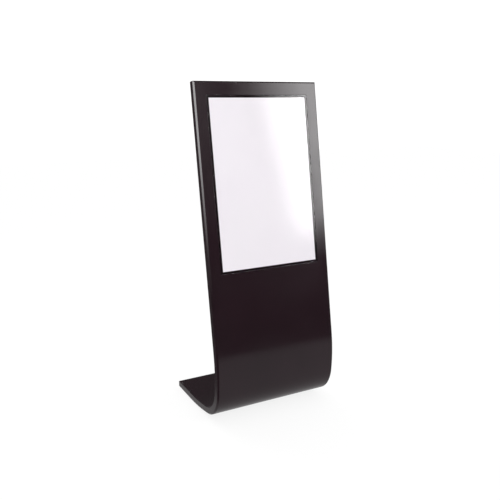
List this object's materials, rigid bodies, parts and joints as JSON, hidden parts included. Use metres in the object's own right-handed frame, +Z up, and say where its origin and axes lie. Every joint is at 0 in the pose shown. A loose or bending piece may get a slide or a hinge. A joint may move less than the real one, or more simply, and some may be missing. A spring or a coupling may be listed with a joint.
{
  "type": "touchscreen kiosk",
  "caption": "Free-standing information kiosk: a thin leaning slab with a tall touch screen that curves under into its own flat base, with a lockable rear door.",
  "frame": {"origin": "on the floor, under the middle of the whole kiosk", "axes": "+Z up, the screen faces -Y, +X to the right of somebody who faces the screen"},
  "size_m": [0.7, 0.5579, 1.7376],
  "materials": {
    "body_paint": "black powder coat under a clear high-gloss lacquer",
    "cover_glass": "polished toughened glass",
    "gasket_foam": "matte black foam tape",
    "screen_lit": "lit white screen",
    "acrylic": "frosted acrylic",
    "led_white": "light strips",
    "bare_sheet": "zinc-plated sheet steel",
    "ballast_steel": "flame-cut steel plate with a thin primer",
    "circuit_board": "green solder mask",
    "player_metal": "black anodised aluminium",
    "supply_metal": "perforated sheet aluminium",
    "terminal_plastic": "dark grey moulded plastic",
    "inlet_plastic": "black moulded plastic",
    "rocker_plastic": "black moulded plastic, slightly polished",
    "button_plastic": "light grey moulded plastic",
    "pin_brass": "turned and nickel-washed brass",
    "lead_jacket": "soft black cable jacket",
    "foot_rubber": "matte moulded rubber",
    "screw_steel": "black zinc-plated steel",
    "lock_chrome": "bright nickel-plated zinc",
    "fan_plastic": "black glass-filled plastic",
    "filter_foam": "open-cell foam"
  },
  "bodies": {
    "root": {"backlight_tray": "bare_sheet", "ballast_plate_left": "ballast_steel", "ballast_plate_right": "ballast_steel", "body_shell": "body_paint", "bracket_screws": "screw_steel", "display_bracket_lower": "bare_sheet", "display_bracket_upper": "bare_sheet", "driver_board": "circuit_board", "foot_screws": "screw_steel", "front_feet": "foot_rubber", "glass_frame": "bare_sheet", "glass_gasket": "gasket_foam", "inlet_pins": "pin_brass", "inner_leads": "lead_jacket", "lcd_cell": "screen_lit", "lead_clips": "inlet_plastic", "led_strips": "led_white", "light_guide": "acrylic", "lock_keepers": "bare_sheet", "mains_lead": "lead_jacket", "pivot_brackets": "body_paint", "pivot_pins": "screw_steel", "player_board": "circuit_board", "player_bracket": "bare_sheet", "player_case": "player_metal", "power_inlet": "inlet_plastic", "power_supply": "supply_metal", "rear_feet": "foot_rubber", "rear_skin": "body_paint", "rear_skin_screws": "screw_steel", "rib_left": "bare_sheet", "rib_right": "bare_sheet", "side_rail_left": "bare_sheet", "side_rail_right": "bare_sheet", "sill_rail": "bare_sheet", "supply_terminals": "terminal_plastic", "switch_housing": "inlet_plastic", "terminal_block": "terminal_plastic", "timing_board": "circuit_board", "touch_controller": "circuit_board", "touch_glass": "cover_glass"},
    "service_door": {"service_door": "body_paint", "door_frame": "body_paint", "pivot_bushes": "pin_brass", "lock_body_lower": "lock_chrome", "lock_body_upper": "lock_chrome", "lock_nuts": "lock_chrome", "fan_frame_left": "fan_plastic", "fan_frame_right": "fan_plastic", "fan_screws": "screw_steel", "intake_filters": "filter_foam"},
    "lock_lower": {"lock_plug_lower": "lock_chrome", "lock_cam_lower": "lock_chrome"},
    "lock_upper": {"lock_plug_upper": "lock_chrome", "lock_cam_upper": "lock_chrome"},
    "fan_left": {"fan_rotor_left": "fan_plastic"},
    "fan_right": {"fan_rotor_right": "fan_plastic"},
    "power_switch": {"switch_rocker": "rocker_plastic"},
    "start_button": {"player_button": "button_plastic"}
  },
  "joints": [
    {"name": "door_hinge", "type": "hinge", "parent": "root", "child": "service_door", "pos_m": [0.338, -0.12137, 1.08255], "axis": [0, -0.165, -0.9863], "range_deg": [0, 110]},
    {"name": "lock_lower_turn", "type": "hinge", "parent": "service_door", "child": "lock_lower", "pos_m": [-0.312, -0.20962, 0.63092], "axis": [0, 0.9863, -0.165], "range_deg": [0, 90]},
    {"name": "lock_upper_turn", "type": "hinge", "parent": "service_door", "child": "lock_upper", "pos_m": [-0.312, -0.08418, 1.3805], "axis": [0, 0.9863, -0.165], "range_deg": [0, 90]},
    {"name": "fan_left_spin", "type": "hinge", "parent": "service_door", "child": "fan_left", "pos_m": [-0.12, -0.03998, 1.59616], "axis": [0, 0.9863, -0.165], "continuous": true},
    {"name": "fan_right_spin", "type": "hinge", "parent": "service_door", "child": "fan_right", "pos_m": [0.12, -0.03998, 1.59616], "axis": [0, 0.9863, -0.165], "continuous": true},
    {"name": "switch_rock", "type": "hinge", "parent": "root", "child": "power_switch", "pos_m": [0.046, 0.2738, 0.025], "axis": [-1, 0, 0], "range_deg": [0, 18]},
    {"name": "start_press", "type": "slide", "parent": "root", "child": "start_button", "axis": [0, -0.9863, 0.165], "range_m": [0, 0.0008], "stiffness_N_per_m": 400}
  ]
}
